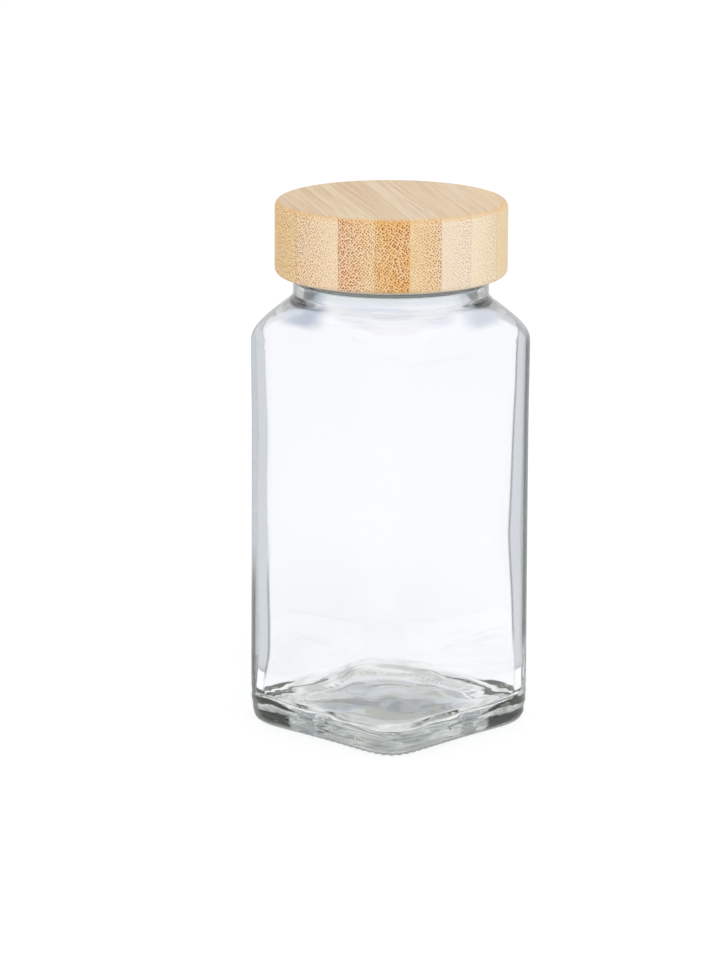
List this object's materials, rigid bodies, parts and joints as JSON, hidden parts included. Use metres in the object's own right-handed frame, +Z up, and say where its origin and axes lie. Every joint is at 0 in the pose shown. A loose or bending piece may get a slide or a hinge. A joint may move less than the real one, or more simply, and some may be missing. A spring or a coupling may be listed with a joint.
{
  "type": "spice jar",
  "caption": "Square clear-glass spice jar with a conical shoulder, a round screw neck with a shaker insert, and a turned laminated-bamboo screw lid.",
  "frame": {"origin": "centre of the base, on the surface that the jar stands on", "axes": "+Z up along the jar's axis; +X and +Y square to two flat walls"},
  "size_m": [0.0474, 0.0474, 0.11],
  "materials": {
    "glass": "clear, smooth, slightly wavy inside",
    "shaker": "satin white",
    "liner": "soft, matt white",
    "insert": "satin white",
    "bamboo": "fine-sanded bamboo with a thin clear oil"
  },
  "bodies": {
    "jar": {"glass_jar": "glass"},
    "shaker": {"shaker_insert": "shaker"},
    "liner": {"seal_liner": "liner"},
    "lid": {"screw_insert": "insert", "bamboo_strip_1": "bamboo", "bamboo_strip_2": "bamboo", "bamboo_strip_3": "bamboo", "bamboo_strip_4": "bamboo", "bamboo_strip_5": "bamboo", "bamboo_strip_6": "bamboo", "bamboo_strip_7": "bamboo", "bamboo_strip_8": "bamboo"}
  },
  "joints": [
    {"name": "shaker_lift", "type": "slide", "parent": "jar", "child": "shaker", "axis": [0, 0, 1], "range_m": [0, 0.03]},
    {"name": "lid_lift", "type": "slide", "parent": "shaker", "child": "liner", "axis": [0, 0, 1], "range_m": [0, 0.04]},
    {"name": "lid_turn", "type": "hinge", "parent": "liner", "child": "lid", "pos_m": [0, 0, 0.1], "axis": [0, 0, 1], "range_deg": [0, 360]}
  ]
}
